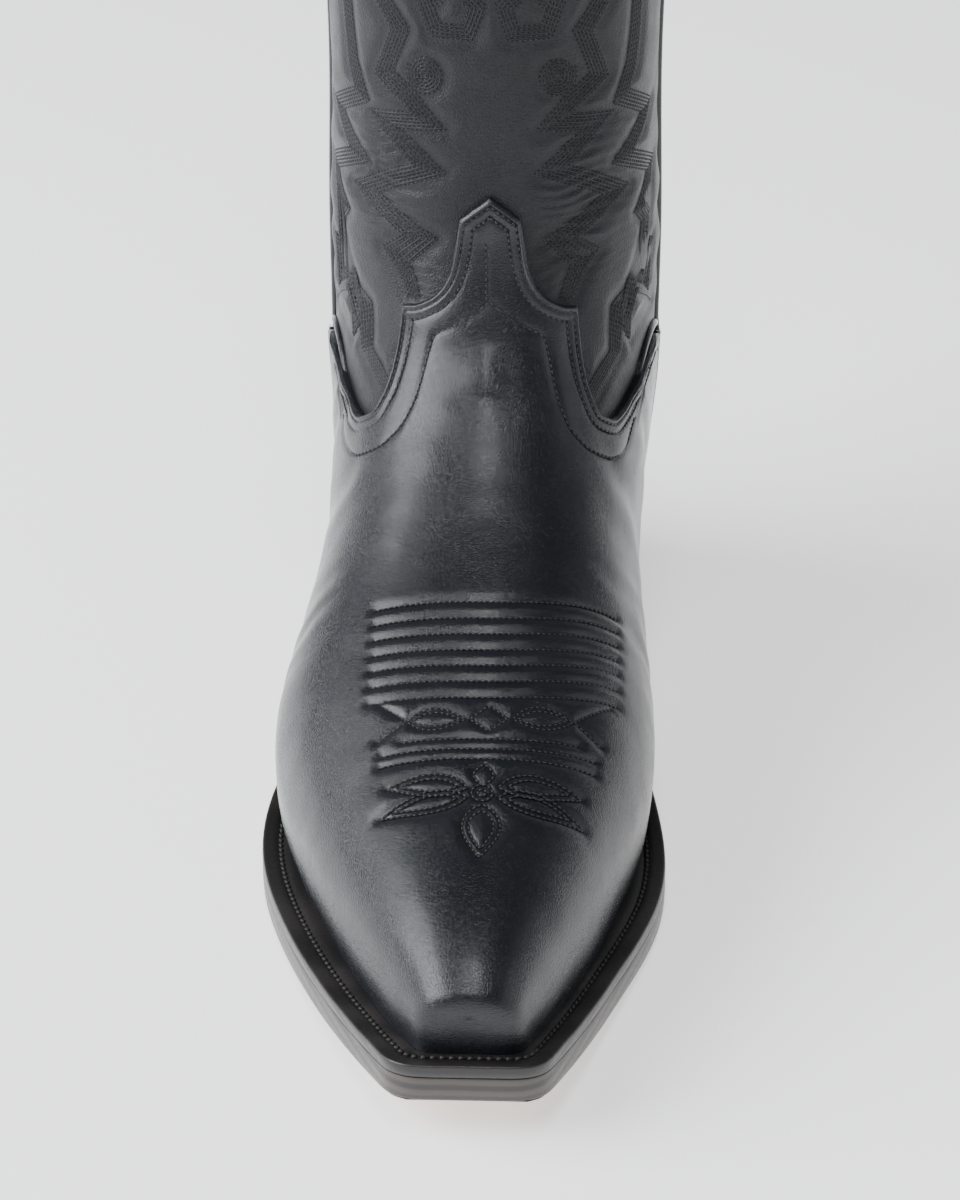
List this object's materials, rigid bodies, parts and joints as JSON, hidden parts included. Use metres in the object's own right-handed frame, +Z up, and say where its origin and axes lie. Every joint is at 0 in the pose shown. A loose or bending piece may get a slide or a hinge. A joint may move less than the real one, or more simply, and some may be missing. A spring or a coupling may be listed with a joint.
{
  "type": "western boot",
  "caption": "Black leather western boot for the right foot, with a snip toe, stitched welt, undershot stacked heel, scalloped top and two pull loops.",
  "frame": {"origin": "on the floor, under the middle of the boot's bounding box", "axes": "+Z up, -Y to the toe, +X to the medial side of the right foot"},
  "size_m": [0.1154, 0.3138, 0.3692],
  "materials": {
    "black_leather": "smooth polished upper leather with a soft sheen",
    "black_edge": "dyed and burnished leather edge",
    "sole_leather": "natural sole leather, edges dyed black",
    "insole_leather": "matte vegetable tanned leather",
    "lining_leather": "soft tan lining leather",
    "stiffener_board": "matte leather board",
    "backing_cloth": "woven cotton backing",
    "cork": "pressed cork",
    "spring_steel": "plain steel strip",
    "heel_rubber": "matte black rubber"
  },
  "bodies": {
    "boot": {"vamp": "black_leather", "counter_cover": "black_leather", "shaft_front": "black_leather", "shaft_back": "black_leather", "side_piping_lateral": "black_leather", "side_piping_medial": "black_leather", "top_binding": "black_leather", "pull_tab_lateral_outer": "black_leather", "pull_tab_lateral_inner": "black_leather", "pull_tab_medial_outer": "black_leather", "pull_tab_medial_inner": "black_leather", "toe_box": "stiffener_board", "heel_stiffener": "stiffener_board", "vamp_backer": "backing_cloth", "vamp_lining": "lining_leather", "shaft_lining": "lining_leather", "sock_liner": "lining_leather", "insole": "insole_leather", "cork_filler": "cork", "shank": "spring_steel", "welt": "black_edge", "heel_seat_rand": "black_edge", "outsole": "sole_leather", "heel_wedge": "black_edge", "heel_lift_1": "black_edge", "heel_lift_2": "black_edge", "heel_lift_3": "black_edge", "heel_lift_4": "black_edge", "top_lift": "heel_rubber"},
    "loop_lateral": {"pull_loop_lateral": "black_leather"},
    "loop_medial": {"pull_loop_medial": "black_leather"}
  },
  "joints": [
    {"name": "loop_lateral_fold", "type": "hinge", "parent": "boot", "child": "loop_lateral", "pos_m": [-0.0509, 0.0841, 0.3452], "axis": [0, 1, 0], "range_deg": [-30, 25], "stiffness_Nm_per_rad": 0.02},
    {"name": "loop_medial_fold", "type": "hinge", "parent": "boot", "child": "loop_medial", "pos_m": [0.0517, 0.0841, 0.3452], "axis": [0, 1, 0], "range_deg": [-25, 30], "stiffness_Nm_per_rad": 0.02}
  ]
}
